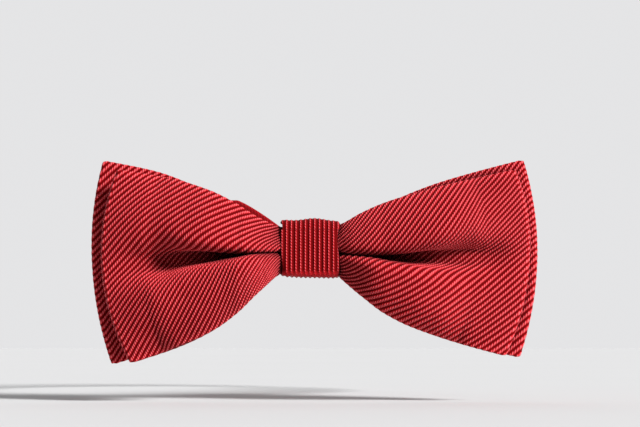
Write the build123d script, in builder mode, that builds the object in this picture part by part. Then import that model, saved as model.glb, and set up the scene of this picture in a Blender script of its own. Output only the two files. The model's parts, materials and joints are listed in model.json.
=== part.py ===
"""A pre-tied bow tie, fastened, with its adjustable neck band.

Millimetres. The origin is on the axis of the neck, at mid height of the band. +Z runs up the neck, the
bow faces -Y, and +X is to the right of someone looking at the bow.

The bow is two folded loops of ribbed cloth, one in front of the other. Thread gathers them at the waist,
and a short wrap of the same cloth, the knot, goes round both loops and the band. The band is a tape that
goes round the neck. It ends in an eye on the left and a hook on the right, and a slider on the right
takes up its spare length. A tape bends everywhere, so its two halves are cut into rigid lengths that
meet at vertical flex axes.
"""

from build123d import *

import os
from math import asin, cos, degrees, radians, sin, sqrt

# Neck band
NECK_RADIUS = 61.5  # to the tape's inner face
BAND_WIDTH = 12.0
BAND_THICKNESS = 1.0
BAND_RISE = 8.0  # the band goes round the neck this far above the knot's centre
RISE_END_LEFT = 20.4  # how far out from the knot's centre the rise ends
RISE_END_RIGHT = 26.0
RISE_START_SLOPE = 0.6  # steep out of the knot
RISE_END_SLOPE = 0.15  # and easing into the ring
SIDE_FLEX_ANGLE = 60.0  # flex axes, round from the front
REAR_FLEX_ANGLE = 115.0
FLEX_GAP = 0.4  # between two rigid lengths of tape

# Knot
KNOT_WIDTH = 15.6
KNOT_CLOTH = 0.8
KNOT_LINING = 0.4
KNOT_CORNER = 1.6
SEAM_WIDTH = 1.4  # sunk seam across the knot's back
SEAM_DEPTH = 0.45
SEAM_SLIT = 0.3
SEAM_DROP = 3.2  # below the knot's centre
SEAM_STITCHES = 5

# Bow: both loops at the waist, and the ends of the wings, from the knot's centre
WAIST_HALF_HEIGHT = 5.5
WAIST_END = 8.0
THREAD_RADIUS = 0.25
THREAD_TURNS = 5
THREAD_PITCH = 1.2
PLY = 1.4  # a folded ply of cloth, with its interlining pocket
LINING = 0.4
LINING_INSET = 1.8

BACK_THICKNESS = 3.4
BACK_TOP_CORNER = (57.1, 23.1)
BACK_END_BULGE = (60.2, 0.0)
BACK_LOW_CORNER = (55.1, -29.0)
BACK_TOP_EDGE = [(19.5, 10.6), (33.0, 16.6)]
BACK_LOW_EDGE = [(33.0, -22.4), (19.0, -15.6)]

FRONT_WAIST = 6.0
FRONT_TOP_CORNER = (53.9, 20.5)
FRONT_END_BULGE = (57.7, -0.5)
FRONT_LOW_CORNER = (50.6, -29.5)
FRONT_TOP_EDGE = [(12.5, 8.5), (19.5, 12.1), (33.0, 16.9)]
FRONT_LOW_EDGE = [(33.0, -24.0), (20.0, -17.8), (12.0, -11.0)]
FRONT_END_THICKNESS = 3.6
LOBE_CREST = (21.0, 14.4)  # out from the centre, and forward of the front bow's back
LOBE_SHOULDER = (41.0, 8.8)
LOBE_WAIST_SLOPE = 0.9  # how steeply the lobes fall to the knot
LOBE_END_SLOPE = 0.15  # and how gently they start at the outer fold
CREASE_END = 46.0  # where the fold between the lobes runs out
CREASE_DROOP = 4.3  # the fold's outer end sits this far below the knot's centre
CREASE_FLOOR_IN, CREASE_FLOOR_OUT = 2.6, 5.9
CREASE_HALF_WIDTH_IN, CREASE_HALF_WIDTH_OUT = 1.6, 0.4
TUNNEL_START, TUNNEL_END = 15.0, 50.0  # the open middle of each wing's loop
TUNNEL_HEIGHT = 2.2

# Hook, eye and slider
WIRE_RADIUS = 0.7
PLATE = 1.0
PIN_CLEARANCE = 0.1
EYE_LENGTH = 6.8  # bar to bar
EYE_CORNER = 1.2
HOOK_LENGTH = 9.0  # its bar to the eye's bar
HOOK_WINDOW_END = 3.4
TONGUE_WIDTH = 7.0
TONGUE_CLEARANCE = 0.15
LIP_CLEARANCE = 2.0  # slack, so that the eye lifts clear as the band opens
LIP_HEIGHT = 0.5  # past the middle of the eye's bar
FRAME_MARGIN = 0.3  # tape edge to metal frame
SLIDER_ANGLE = 150.0
SLIDER_LENGTH = 8.4  # outer bar to outer bar
SLIDER_BAR = 0.6
SLIDER_SIDE = 1.2
TAIL_SEWN = 7.0  # tape sewn back after it goes round the slider's middle bar
LOOP_TAIL = 9.0  # tape sewn back after it goes round the eye's bar
STITCH = 0.35
STITCH_LENGTH = 1.5
TAPE_STITCHES = 5
STITCH_SETBACK = 1.5  # from the tape's cut end

# Clearances
GAP = 0.1
THREAD_ROOM = 0.05
REACH = 80.0  # longer than anything it cuts

# Worked out from the dimensions above
BAND_OUTER = NECK_RADIUS + BAND_THICKNESS
BAND_MIDDLE = NECK_RADIUS + BAND_THICKNESS / 2
KNOT_Z = -BAND_RISE
WAIST_ROOM = 2 * THREAD_RADIUS + 2 * THREAD_ROOM + GAP / 2
BOW_BACK = BAND_OUTER + WAIST_ROOM  # distance forward of the neck's axis
FRONT_BACK = BACK_THICKNESS + GAP  # forward of the bow's back
BOW_FRONT = FRONT_BACK + FRONT_WAIST
KNOT_WALL = KNOT_LINING + THREAD_ROOM + KNOT_CLOTH
CAVITY_HALF_HEIGHT = max(BAND_WIDTH / 2, WAIST_HALF_HEIGHT + WAIST_ROOM - GAP / 2) + 2 * GAP
CAVITY_BACK = sqrt(NECK_RADIUS**2 - (KNOT_WIDTH / 2) ** 2) - GAP
CAVITY_FRONT = BOW_BACK + BOW_FRONT + WAIST_ROOM
KNOT_BACK = CAVITY_BACK - KNOT_WALL

FRONT_VIEW = Plane(origin=(0, -BOW_BACK, KNOT_Z), x_dir=(1, 0, 0), z_dir=(0, -1, 0))
PLAN_VIEW = Plane(origin=(0, -BOW_BACK, KNOT_Z), x_dir=(1, 0, 0), z_dir=(0, 0, -1))

os.makedirs("parts", exist_ok=True)


def finish(builder, name):
    """Labels a finished piece and writes it as one STEP file."""
    builder.part.label = name
    export_step(builder.part, f"parts/{name}.step")
    return builder.part


def on_ring(radius, angle, side=1):
    """A point round the neck, angle degrees from the front, on the right (side 1) or the left (-1)."""
    return (side * radius * sin(radians(angle)), -radius * cos(radians(angle)))


def chord_angle(length, radius):
    """Degrees round the ring that a straight piece of this length spans."""
    return 2 * degrees(asin(length / 2 / radius))


def arc_angle(length, radius):
    """Degrees round the ring that an arc of this length spans."""
    return degrees(length / radius)


# --- Bow ---------------------------------------------------------------------------------------------


def bow_outline(top_edge, top_corner, bulge, low_corner, low_edge):
    """Front view of one loop of the bow, both wings."""
    with BuildSketch() as outline:
        with BuildLine():
            Line((0, WAIST_HALF_HEIGHT), (WAIST_END, WAIST_HALF_HEIGHT))
            Spline((WAIST_END, WAIST_HALF_HEIGHT), *top_edge, top_corner)
            ThreePointArc(top_corner, bulge, low_corner)
            Spline(low_corner, *low_edge, (WAIST_END, -WAIST_HALF_HEIGHT))
            Line((WAIST_END, -WAIST_HALF_HEIGHT), (0, -WAIST_HALF_HEIGHT))
            mirror(about=Plane.YZ)
        make_face()
    return outline.sketch


def lining_sheet(top_corner, low_corner, depth, slack=0.0):
    """The interlining inside a loop's back ply, or with slack the pocket that holds it."""
    with BuildPart() as sheet:
        with BuildSketch(FRONT_VIEW.offset(depth - slack)):
            with BuildLine():
                Polyline(
                    (0, WAIST_HALF_HEIGHT),
                    (WAIST_END, WAIST_HALF_HEIGHT),
                    top_corner,
                    low_corner,
                    (WAIST_END, -WAIST_HALF_HEIGHT),
                    (0, -WAIST_HALF_HEIGHT),
                )
                mirror(about=Plane.YZ)
            make_face()
            offset(amount=slack - LINING_INSET, kind=Kind.INTERSECTION)
        extrude(amount=LINING + 2 * slack)
    return sheet


def make_back_bow():
    lining = (BACK_TOP_CORNER, BACK_LOW_CORNER, (PLY - LINING) / 2)
    tunnel = BACK_THICKNESS - 2 * PLY
    tunnel_end = TUNNEL_END + BACK_END_BULGE[0] - FRONT_END_BULGE[0]
    with BuildPart() as bow:
        with BuildSketch(FRONT_VIEW):
            add(bow_outline(BACK_TOP_EDGE, BACK_TOP_CORNER, BACK_END_BULGE, BACK_LOW_CORNER, BACK_LOW_EDGE))
        extrude(amount=BACK_THICKNESS)
        with BuildSketch(PLAN_VIEW.offset(-REACH / 2)):
            with Locations((0, BACK_THICKNESS / 2)):
                SlotOverall(2 * BACK_END_BULGE[0], BACK_THICKNESS)
        extrude(amount=REACH, mode=Mode.INTERSECT)
        with BuildSketch(PLAN_VIEW.offset(-REACH / 2)):
            for side in (-1, 1):
                with Locations((side * (TUNNEL_START + tunnel_end) / 2, BACK_THICKNESS / 2)):
                    SlotOverall(tunnel_end - TUNNEL_START, tunnel)
        extrude(amount=REACH, mode=Mode.SUBTRACT)
        add(lining_sheet(*lining, slack=GAP / 2).part, mode=Mode.SUBTRACT)
    finish(bow, "back_bow")
    finish(lining_sheet(*lining), "back_bow_interlining")


def wing_plan(side):
    """Plan view of one wing of the front bow: flat behind, and bulging in front from waist to end."""
    end = FRONT_END_BULGE[0]
    fold = FRONT_END_THICKNESS / 2
    with BuildSketch() as plan:
        with BuildLine():
            Line((0, FRONT_BACK), (side * (end - fold), FRONT_BACK))
            ThreePointArc(
                (side * (end - fold), FRONT_BACK),
                (side * end, FRONT_BACK + fold),
                (side * (end - fold), FRONT_BACK + 2 * fold),
            )
            Spline(
                (side * (end - fold), FRONT_BACK + 2 * fold),
                (side * LOBE_SHOULDER[0], FRONT_BACK + LOBE_SHOULDER[1]),
                (side * LOBE_CREST[0], FRONT_BACK + LOBE_CREST[1]),
                (side * WAIST_END, BOW_FRONT),
                tangents=[(-side, LOBE_END_SLOPE), (-side, -LOBE_WAIST_SLOPE)],
            )
            Line((side * WAIST_END, BOW_FRONT), (0, BOW_FRONT))
            Line((0, BOW_FRONT), (0, FRONT_BACK))
        make_face()
    return plan.sketch


def wing_tunnel(side):
    """Plan view of the open middle of one wing's loop."""
    low = FRONT_BACK + PLY
    with BuildSketch() as plan:
        with BuildLine():
            Line((side * TUNNEL_START, low), (side * TUNNEL_END, low))
            Spline(
                (side * TUNNEL_END, low),
                (side * (TUNNEL_START + TUNNEL_END) / 2, low + TUNNEL_HEIGHT),
                (side * TUNNEL_START, low),
            )
        make_face()
    return plan.sketch


def crease_cut():
    """The deep fold between the upper and lower lobes, cut into the front of both wings."""
    crease_start = KNOT_WIDTH / 2
    start_z = KNOT_Z - CREASE_DROOP * crease_start / CREASE_END
    end_z = KNOT_Z - CREASE_DROOP
    back = -BOW_BACK - FRONT_BACK
    mouth = back - 2 * LOBE_CREST[1]  # well in front of the lobes
    with BuildPart() as cut:
        for x, z, floor, half in (
            (crease_start, start_z, CREASE_FLOOR_IN, CREASE_HALF_WIDTH_IN),
            (CREASE_END, end_z, CREASE_FLOOR_OUT, CREASE_HALF_WIDTH_OUT),
        ):
            with BuildSketch(Plane.YZ.offset(x)):
                with BuildLine():
                    Polyline((back - floor, z), (mouth, z + half), (mouth, z - half), close=True)
                make_face()
        loft()
        mirror(about=Plane.YZ)
    return cut


def make_front_bow():
    lining = (FRONT_TOP_CORNER, FRONT_LOW_CORNER, FRONT_BACK + (PLY - LINING) / 2)
    with BuildPart() as bow:
        with BuildSketch(FRONT_VIEW):
            add(
                bow_outline(
                    FRONT_TOP_EDGE, FRONT_TOP_CORNER, FRONT_END_BULGE, FRONT_LOW_CORNER, FRONT_LOW_EDGE
                )
            )
        extrude(amount=REACH)
        with BuildSketch(PLAN_VIEW.offset(-REACH / 2)):
            add(wing_plan(1))
            add(wing_plan(-1))
        extrude(amount=REACH, mode=Mode.INTERSECT)
        with BuildSketch(PLAN_VIEW.offset(-REACH / 2)):
            add(wing_tunnel(1))
            add(wing_tunnel(-1))
        extrude(amount=REACH, mode=Mode.SUBTRACT)
        add(crease_cut().part, mode=Mode.SUBTRACT)
        add(lining_sheet(*lining, slack=GAP / 2).part, mode=Mode.SUBTRACT)
    finish(bow, "front_bow")
    finish(lining_sheet(*lining), "front_bow_interlining")


def make_gather_thread():
    """Turns of thread round both loops at the waist, inside the knot."""
    reach = THREAD_ROOM + THREAD_RADIUS
    back = -BOW_BACK + reach
    front = -BOW_BACK - BOW_FRONT - reach
    top = KNOT_Z + WAIST_HALF_HEIGHT + reach
    low = KNOT_Z - WAIST_HALF_HEIGHT - reach
    with BuildPart() as thread:
        for turn in range(THREAD_TURNS):
            x = (turn - (THREAD_TURNS - 1) / 2) * THREAD_PITCH
            corners = [(x, back, top), (x, front, top), (x, front, low), (x, back, low)]
            with BuildLine() as path:
                FilletPolyline(*corners, radius=2 * THREAD_RADIUS, close=True)
            with BuildSketch(Plane(origin=path.line @ 0, z_dir=path.line % 0)):
                Circle(THREAD_RADIUS)
            sweep()
    finish(thread, "gather_thread")


# --- Knot --------------------------------------------------------------------------------------------


def knot_tube(inner_wall, outer_wall, inner_corner, outer_corner):
    """A sleeve round the knot's cavity, between two distances out from the cavity's wall."""
    depth = CAVITY_FRONT - CAVITY_BACK
    height = 2 * CAVITY_HALF_HEIGHT
    middle = (-(CAVITY_FRONT + CAVITY_BACK) / 2, KNOT_Z)
    with BuildPart() as tube:
        with BuildSketch(Plane.YZ.offset(-KNOT_WIDTH / 2)):
            with Locations(middle):
                RectangleRounded(depth + 2 * outer_wall, height + 2 * outer_wall, outer_corner)
                RectangleRounded(
                    depth + 2 * inner_wall, height + 2 * inner_wall, inner_corner, mode=Mode.SUBTRACT
                )
        extrude(amount=KNOT_WIDTH)
    return tube


def make_knot():
    lining_corner = KNOT_CORNER - KNOT_CLOTH - THREAD_ROOM
    finish(knot_tube(0, KNOT_LINING, lining_corner - KNOT_LINING, lining_corner), "knot_interlining")

    seam_z = KNOT_Z - SEAM_DROP
    wrap = knot_tube(KNOT_LINING + THREAD_ROOM, KNOT_WALL, KNOT_CORNER - KNOT_CLOTH, KNOT_CORNER)
    with wrap:
        with Locations((0, -KNOT_BACK - SEAM_DEPTH / 2, seam_z)):
            Box(KNOT_WIDTH, SEAM_DEPTH, SEAM_WIDTH, mode=Mode.SUBTRACT)
        with Locations((0, -KNOT_BACK - KNOT_CLOTH / 2, seam_z)):
            Box(KNOT_WIDTH, KNOT_CLOTH, SEAM_SLIT, mode=Mode.SUBTRACT)
    finish(wrap, "knot_wrap")

    stitch_pitch = KNOT_WIDTH / SEAM_STITCHES
    stitch_y = -KNOT_BACK - SEAM_DEPTH + THREAD_ROOM / 2 + STITCH / 2
    with BuildPart() as stitches:
        with Locations((0, stitch_y, seam_z)):
            with GridLocations(stitch_pitch, 1, SEAM_STITCHES, 1):
                Box(STITCH, STITCH, SEAM_WIDTH - 2 * THREAD_ROOM)
    finish(stitches, "knot_stitches")


# --- Neck band ---------------------------------------------------------------------------------------


def tape_arc(start, end, side, inner=NECK_RADIUS):
    """Plan view of a length of tape that follows the ring."""
    middle = (start + end) / 2
    outer = inner + BAND_THICKNESS
    with BuildSketch() as tape:
        with BuildLine():
            ThreePointArc(*[on_ring(outer, a, side) for a in (start, middle, end)])
            Line(on_ring(outer, end, side), on_ring(inner, end, side))
            ThreePointArc(*[on_ring(inner, a, side) for a in (end, middle, start)])
            Line(on_ring(inner, start, side), on_ring(outer, start, side))
        make_face()
    return tape.sketch


def rigid_length(start, end, side):
    """Plan view of a rigid length of tape, rounded at the ends that meet a flex axis."""
    with BuildSketch() as tape:
        add(tape_arc(start, end, side))
        with Locations(on_ring(BAND_MIDDLE, start, side), on_ring(BAND_MIDDLE, end, side)):
            Circle(BAND_THICKNESS / 2)
    return tape.sketch


def rise_outline(side, rise_end):
    """Front view of the tape on one side, as it rises from the knot to the band's level."""
    half = BAND_WIDTH / 2
    start = side * (KNOT_WIDTH / 2 + GAP)
    end = side * rise_end
    climb = [(side, RISE_START_SLOPE), (side, RISE_END_SLOPE)]
    with BuildSketch() as outline:
        with BuildLine():
            Line((0, KNOT_Z + half), (start, KNOT_Z + half))
            Spline((start, KNOT_Z + half), (end, half), tangents=climb)
            Line((end, half), (side * REACH, half))
            Line((side * REACH, half), (side * REACH, -half))
            Line((side * REACH, -half), (end, -half))
            Spline((start, KNOT_Z - half), (end, -half), tangents=climb)
            Line((start, KNOT_Z - half), (0, KNOT_Z - half))
            Line((0, KNOT_Z - half), (0, KNOT_Z + half))
        make_face()
    return outline.sketch


# From a flex axis to the centre of the rounded tape end beside it
FLEX_SETBACK = arc_angle((BAND_THICKNESS + FLEX_GAP) / 2, BAND_MIDDLE)


def make_band_front():
    """The tape that runs through the knot, and rises to the band's level on both sides of it."""
    with BuildPart() as band:
        with BuildSketch(Plane.XY.offset(-REACH / 2)):
            for side in (-1, 1):
                add(rigid_length(0, SIDE_FLEX_ANGLE - FLEX_SETBACK, side))
        extrude(amount=REACH)
        with BuildSketch(Plane.XZ):
            add(rise_outline(-1, RISE_END_LEFT))
            add(rise_outline(1, RISE_END_RIGHT))
        extrude(amount=REACH, mode=Mode.INTERSECT)
    finish(band, "band_front")


def make_band_side(side, name):
    """One half's middle length of tape, between its two flex axes."""
    with BuildPart() as band:
        with BuildSketch(Plane.XY.offset(-BAND_WIDTH / 2)):
            add(rigid_length(SIDE_FLEX_ANGLE + FLEX_SETBACK, REAR_FLEX_ANGLE - FLEX_SETBACK, side))
        extrude(amount=BAND_WIDTH)
    finish(band, name)


LOOP_HOLE = WIRE_RADIUS + PIN_CLEARANCE
LOOP_OUTER = LOOP_HOLE + BAND_THICKNESS
EYE_PIN_ANGLE = 180 - chord_angle(EYE_LENGTH, BAND_OUTER)
HOOK_PIN_ANGLE = 180 - chord_angle(HOOK_LENGTH, BAND_OUTER)


def rear_tape(side, pin_angle, tail_length):
    """One half's last length of tape: it goes round a metal bar and, on the left, is sewn to itself."""
    with BuildPart() as band:
        with BuildSketch(Plane.XY.offset(-BAND_WIDTH / 2)):
            add(rigid_length(REAR_FLEX_ANGLE + FLEX_SETBACK, pin_angle, side))
            if tail_length:
                tail_start = pin_angle - arc_angle(tail_length, BAND_OUTER)
                add(tape_arc(tail_start, pin_angle, side, inner=BAND_OUTER))
            with Locations(on_ring(BAND_OUTER, pin_angle, side)):
                Circle(LOOP_OUTER)
                Circle(LOOP_HOLE, mode=Mode.SUBTRACT)
        extrude(amount=BAND_WIDTH)
    return band


def tape_stitches(side, angle, radius, name):
    """A column of stitches on the outer face of the tape."""
    x, y = on_ring(radius + THREAD_ROOM + STITCH / 2, angle, side)
    pitch = BAND_WIDTH / TAPE_STITCHES
    heights = [(i - (TAPE_STITCHES - 1) / 2) * pitch for i in range(TAPE_STITCHES)]
    with BuildPart(Plane(origin=(x, y, 0), x_dir=(x, y, 0), z_dir=(0, 0, 1))) as stitches:
        with Locations(*[(0, 0, z) for z in heights]):
            Box(STITCH, STITCH, STITCH_LENGTH)
    finish(stitches, name)


# --- Hook, eye and slider ----------------------------------------------------------------------------


def pin_plane(pin_angle, side):
    """A frame on a bar at the end of the band: x runs from the bar to where hook and eye meet."""
    x, y = on_ring(BAND_OUTER, pin_angle, side)
    return Plane(origin=(x, y, 0), x_dir=(-x, BAND_OUTER - y, 0), z_dir=(0, 0, 1))


FRAME_HALF = BAND_WIDTH / 2 + FRAME_MARGIN + WIRE_RADIUS


def make_eye():
    """A rectangle of wire. The tape goes round one long side and the hook catches the other."""
    place = pin_plane(EYE_PIN_ANGLE, -1)
    corners = [(0, 0), (EYE_LENGTH, 0)]
    corners = [(x, 0, -FRAME_HALF) for x, _ in corners] + [(x, 0, FRAME_HALF) for x, _ in corners[::-1]]
    with BuildPart() as eye:
        with BuildLine(place) as path:
            FilletPolyline(*corners, radius=EYE_CORNER, close=True)
        with BuildSketch(Plane(origin=path.line @ 0, z_dir=path.line % 0)):
            Circle(WIRE_RADIUS)
        sweep()
    finish(eye, "eye_ring")


def make_hook():
    """A bar in the tape's fold, a frame round the tape, and a tongue that turns up past the eye's bar."""
    place = pin_plane(HOOK_PIN_ANGLE, 1)
    tongue_y = WIRE_RADIUS + TONGUE_CLEARANCE + PLATE / 2
    lip_x = HOOK_LENGTH + WIRE_RADIUS + LIP_CLEARANCE + PLATE / 2
    frame_end = HOOK_WINDOW_END + PLATE
    frame_half = FRAME_HALF + WIRE_RADIUS
    with BuildPart() as hook:
        with BuildSketch(place.offset(-frame_half)):
            Circle(WIRE_RADIUS)
        extrude(amount=2 * frame_half)
        for z in (-frame_half, FRAME_HALF - WIRE_RADIUS):
            with BuildSketch(place.offset(z)):
                with Locations((frame_end / 2, 0)):
                    SlotOverall(frame_end + 2 * WIRE_RADIUS, 2 * WIRE_RADIUS)
            extrude(amount=2 * WIRE_RADIUS)
        with BuildSketch(place.offset(-FRAME_HALF)):
            with Locations((HOOK_WINDOW_END + PLATE / 2, 0)):
                Rectangle(PLATE, PLATE)
        extrude(amount=2 * FRAME_HALF)
        with BuildSketch(place.offset(-TONGUE_WIDTH / 2)):
            with BuildLine():
                FilletPolyline(
                    (HOOK_WINDOW_END + PLATE / 2, 0),
                    (HOOK_WINDOW_END + 1.5 * PLATE, 0),
                    (HOOK_WINDOW_END + 2.5 * PLATE, tongue_y),
                    (lip_x, tongue_y),
                    (lip_x, -LIP_HEIGHT),
                    radius=PLATE / 2,
                )
            trace(line_width=PLATE)
        extrude(amount=TONGUE_WIDTH)
    finish(hook, "hook")


TAIL_INNER = BAND_OUTER + GAP  # the tape's second ply lies on the first
TAIL_LOOP = SLIDER_BAR + THREAD_ROOM
MIDDLE_BAR_RADIUS = TAIL_INNER + BAND_THICKNESS + TAIL_LOOP  # from the neck's axis
OUTER_BAR_RADIUS = NECK_RADIUS - GAP - SLIDER_BAR


def make_slider():
    """Two outer bars inside the tape and a middle bar outside it, held by a plate past each tape edge."""
    half_angle = chord_angle(SLIDER_LENGTH / 2, OUTER_BAR_RADIUS)
    bars = [
        on_ring(OUTER_BAR_RADIUS, SLIDER_ANGLE - half_angle),
        on_ring(OUTER_BAR_RADIUS, SLIDER_ANGLE + half_angle),
        on_ring(MIDDLE_BAR_RADIUS, SLIDER_ANGLE),
    ]
    side_start = BAND_WIDTH / 2 + FRAME_MARGIN
    with BuildPart() as slider:
        with BuildSketch(Plane.XY.offset(-side_start - SLIDER_SIDE)):
            with Locations(*bars):
                Circle(SLIDER_BAR)
        extrude(amount=2 * (side_start + SLIDER_SIDE))
        with BuildSketch(Plane.XY.offset(side_start)):
            with Locations(*bars):
                Circle(SLIDER_BAR)
            make_hull()
        extrude(amount=SLIDER_SIDE)
        mirror(about=Plane.XY)
    finish(slider, "slide_adjuster")


def make_adjuster_tail():
    """The tape's second ply, from beside the hook back to the slider's middle bar, which it goes round."""
    end = HOOK_PIN_ANGLE - arc_angle(LOOP_OUTER + 2 * GAP, BAND_OUTER)
    sewn_end = SLIDER_ANGLE + arc_angle(TAIL_SEWN, BAND_OUTER)
    with BuildPart() as tail:
        with BuildSketch(Plane.XY.offset(-BAND_WIDTH / 2)):
            add(tape_arc(SLIDER_ANGLE, end, 1, inner=TAIL_INNER))
            add(tape_arc(SLIDER_ANGLE, sewn_end, 1, inner=TAIL_INNER + BAND_THICKNESS))
            with Locations(on_ring(MIDDLE_BAR_RADIUS, SLIDER_ANGLE)):
                Circle(TAIL_LOOP + BAND_THICKNESS)
                Circle(TAIL_LOOP, mode=Mode.SUBTRACT)
        extrude(amount=BAND_WIDTH)
    finish(tail, "adjuster_tail")


make_back_bow()
make_front_bow()
make_gather_thread()
make_knot()
make_band_front()
make_band_side(-1, "band_left_side")
make_band_side(1, "band_right_side")
finish(rear_tape(-1, EYE_PIN_ANGLE, LOOP_TAIL), "band_left_rear")
finish(rear_tape(1, HOOK_PIN_ANGLE, 0), "band_right_rear")
tape_stitches(
    -1, EYE_PIN_ANGLE - arc_angle(LOOP_TAIL - STITCH_SETBACK, BAND_OUTER), BAND_OUTER + BAND_THICKNESS,
    "eye_loop_stitches",
)
tape_stitches(
    1, SLIDER_ANGLE + arc_angle(TAIL_SEWN - STITCH_SETBACK, BAND_OUTER), TAIL_INNER + 2 * BAND_THICKNESS,
    "tail_stitches",
)
make_eye()
make_hook()
make_slider()
make_adjuster_tail()
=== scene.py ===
"""A red, ribbed, pre-tied bow tie on its neck band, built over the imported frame.

Lengths are in millimetres and become metres when a mesh is made. In the bow's shapes x (to the viewer's
right) and z (up) start at the knot's centre, and depth (forward, towards the viewer) at the neck's axis.
"""

import json

import bpy
import numpy as np
from math import cos, degrees, pi, radians, sin
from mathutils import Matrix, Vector


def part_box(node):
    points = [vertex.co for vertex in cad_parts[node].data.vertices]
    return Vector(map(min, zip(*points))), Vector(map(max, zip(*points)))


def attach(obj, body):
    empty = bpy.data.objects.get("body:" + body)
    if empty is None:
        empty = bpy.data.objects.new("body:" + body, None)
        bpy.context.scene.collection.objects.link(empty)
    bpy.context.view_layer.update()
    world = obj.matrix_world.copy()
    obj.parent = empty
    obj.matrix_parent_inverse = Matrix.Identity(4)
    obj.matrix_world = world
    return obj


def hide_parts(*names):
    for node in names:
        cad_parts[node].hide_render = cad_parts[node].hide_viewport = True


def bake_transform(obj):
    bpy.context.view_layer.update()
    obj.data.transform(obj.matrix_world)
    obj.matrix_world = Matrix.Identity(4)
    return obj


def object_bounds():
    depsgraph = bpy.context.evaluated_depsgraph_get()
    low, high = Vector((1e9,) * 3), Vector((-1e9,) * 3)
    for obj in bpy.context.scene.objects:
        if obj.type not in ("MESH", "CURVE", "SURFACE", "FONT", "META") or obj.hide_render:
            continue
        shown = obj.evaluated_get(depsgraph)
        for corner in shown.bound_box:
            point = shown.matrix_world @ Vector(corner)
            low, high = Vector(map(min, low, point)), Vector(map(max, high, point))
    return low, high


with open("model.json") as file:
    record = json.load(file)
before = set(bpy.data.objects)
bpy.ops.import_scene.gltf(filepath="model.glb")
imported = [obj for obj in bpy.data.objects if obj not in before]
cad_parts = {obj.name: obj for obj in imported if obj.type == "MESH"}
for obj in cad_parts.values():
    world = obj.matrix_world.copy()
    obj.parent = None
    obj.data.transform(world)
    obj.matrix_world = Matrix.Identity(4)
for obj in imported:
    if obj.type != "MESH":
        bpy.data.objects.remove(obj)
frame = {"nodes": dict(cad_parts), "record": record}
cad_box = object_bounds()

MM = 0.001

# The frame's own sizes, in millimetres
KNOT_LOW, KNOT_HIGH = (np.array(corner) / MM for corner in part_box("knot_wrap"))
RING_LOW, RING_HIGH = (np.array(corner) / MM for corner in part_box("band_left_side"))
KNOT_CENTRE = (KNOT_LOW + KNOT_HIGH) / 2
KNOT_HALF_WIDTH = (KNOT_HIGH[0] - KNOT_LOW[0]) / 2
TAPE_HALF = RING_HIGH[2]
TAPE_OUTER = -RING_LOW[0]
TAPE = 1.0  # its thickness
TAPE_MIDDLE = TAPE_OUTER - TAPE / 2

# Cloth
RIB_PITCH = 1.3
RIB_HEIGHT = 0.5
KNOT_PITCH = 1.26
KNOT_RIB_HEIGHT = 0.34
FAN = -0.0058  # how much the threads bow, per millimetre, where the knot pulls the cloth's middle in
CLOTH_HALF = 26.6  # half the height of the cut cloth of one wing
PLY = 0.95  # a folded ply of cloth
FINE_STEP = 0.3  # between rows of mesh where the cloth shows
HIDDEN_STEP = 1.0  # inside the knot or behind another wing
COARSE_STEP = 1.3  # on the back plies


# --- Meshes ------------------------------------------------------------------------------------------

UV_NAME = "cloth"
ROUNDING = 2.0  # how wide a difference softer_of blends over


def mesh_object(name, points, faces, uv, material):
    """A smooth mesh from points in millimetres, with one uv pair for each point, also in millimetres."""
    data = bpy.data.meshes.new(name)
    data.from_pydata((np.asarray(points) * MM).tolist(), [], [tuple(map(int, f)) for f in faces])
    data.materials.append(material)
    layer = data.uv_layers.new(name=UV_NAME)
    corner = np.empty(len(data.loops), int)
    data.loops.foreach_get("vertex_index", corner)
    layer.data.foreach_set("uv", np.asarray(uv, np.float32)[corner].ravel())
    data.polygons.foreach_set("use_smooth", np.ones(len(data.polygons), bool))
    data.validate()
    data.update()
    piece = bpy.data.objects.new(name, data)
    bpy.context.scene.collection.objects.link(piece)
    return piece


def tube_faces(stations, ring, closed_path=False):
    """Quads of a tube with that many points round it, and a cap at each end unless its path is closed."""
    i = np.arange(stations if closed_path else stations - 1)[:, None]
    j = np.arange(ring)[None, :]
    after = (i + 1) % stations
    beside = (j + 1) % ring
    quads = np.stack([i * ring + j, i * ring + beside, after * ring + beside, after * ring + j], -1)
    faces = quads.reshape(-1, 4).tolist()
    if not closed_path:
        faces.append(list(range(ring))[::-1])
        faces.append([(stations - 1) * ring + k for k in range(ring)])
    return faces


def steps(start, end, size):
    """Evenly spaced values from start to just before end, about that far apart."""
    count = max(2, round(abs(end - start) / size))
    return np.linspace(start, end, count, endpoint=False)


def smooth(value, start, end):
    """0 before start and 1 after end, with a soft change between them."""
    t = np.clip((value - start) / (end - start), 0, 1)
    return t * t * (3 - 2 * t)


def softer_of(a, b):
    """A little less than the lesser of two values, with a soft change from one to the other."""
    return -ROUNDING * float(np.log(np.exp(-a / ROUNDING) + np.exp(-b / ROUNDING)))


def curve_through(points):
    """A smooth function through (x, value) points, which doesn't overshoot between them."""
    x, y = np.array(points, float).T
    slope = np.diff(y) / np.diff(x)
    same = slope[:-1] * slope[1:] > 0
    inner = np.where(same, 2 * slope[:-1] * slope[1:] / np.where(same, slope[:-1] + slope[1:], 1), 0)
    tangent = np.concatenate([[slope[0]], inner, [slope[-1]]])

    def value(at):
        at = np.clip(np.asarray(at, float), x[0], x[-1])
        k = np.clip(np.searchsorted(x, at, "right") - 1, 0, len(x) - 2)
        h = x[k + 1] - x[k]
        t = (at - x[k]) / h
        a, b = y[k], y[k + 1]
        ta, tb = tangent[k] * h, tangent[k + 1] * h
        return (
            (2 * t**3 - 3 * t**2 + 1) * a
            + (t**3 - 2 * t**2 + t) * ta
            + (3 * t**2 - 2 * t**3) * b
            + (t**3 - t**2) * tb
        )

    return value


# --- Wings -------------------------------------------------------------------------------------------

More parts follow.
